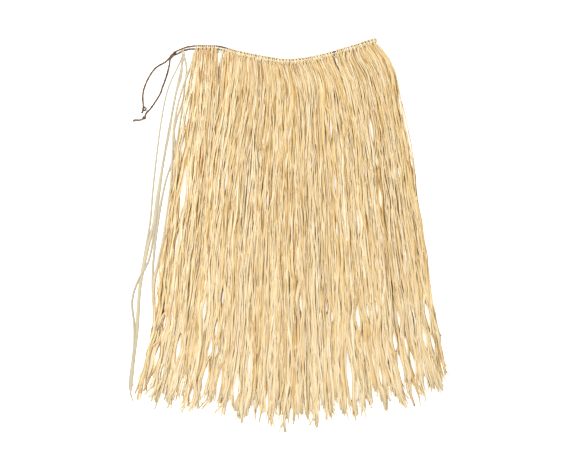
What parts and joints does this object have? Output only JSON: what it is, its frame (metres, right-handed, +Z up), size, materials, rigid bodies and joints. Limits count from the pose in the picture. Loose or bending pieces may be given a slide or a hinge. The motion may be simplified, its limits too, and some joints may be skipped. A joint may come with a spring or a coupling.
{
  "type": "grass skirt",
  "caption": "Raffia grass skirt laid flat and folded in half: dry leaf strands hitched in a row over a twisted waist cord, whose two ends meet in a knot and end in loose knotted tails.",
  "frame": {"origin": "on the surface that the skirt lies on, under the middle of the laid grass", "axes": "+X along the waist away from the knot, +Y from the hem to the waist, +Z up from the surface"},
  "size_m": [0.7083, 0.8665, 0.0165],
  "materials": {
    "raffia": "dry leaf strips, satin",
    "twisted_cord": "two-ply twisted twine, matt"
  },
  "bodies": {
    "root": {"front_grass_left": "raffia", "front_grass_middle": "raffia", "front_grass_right": "raffia", "back_grass_left": "raffia", "back_grass_middle": "raffia", "back_grass_right": "raffia", "stray_grass": "raffia", "waist_cord": "twisted_cord", "waist_knot": "twisted_cord", "tie_short": "twisted_cord", "tie_knot_short": "twisted_cord", "tie_end_short": "twisted_cord", "tie_long": "twisted_cord", "tie_knot_long": "twisted_cord", "tie_end_long": "twisted_cord"}
  },
  "joints": []
}
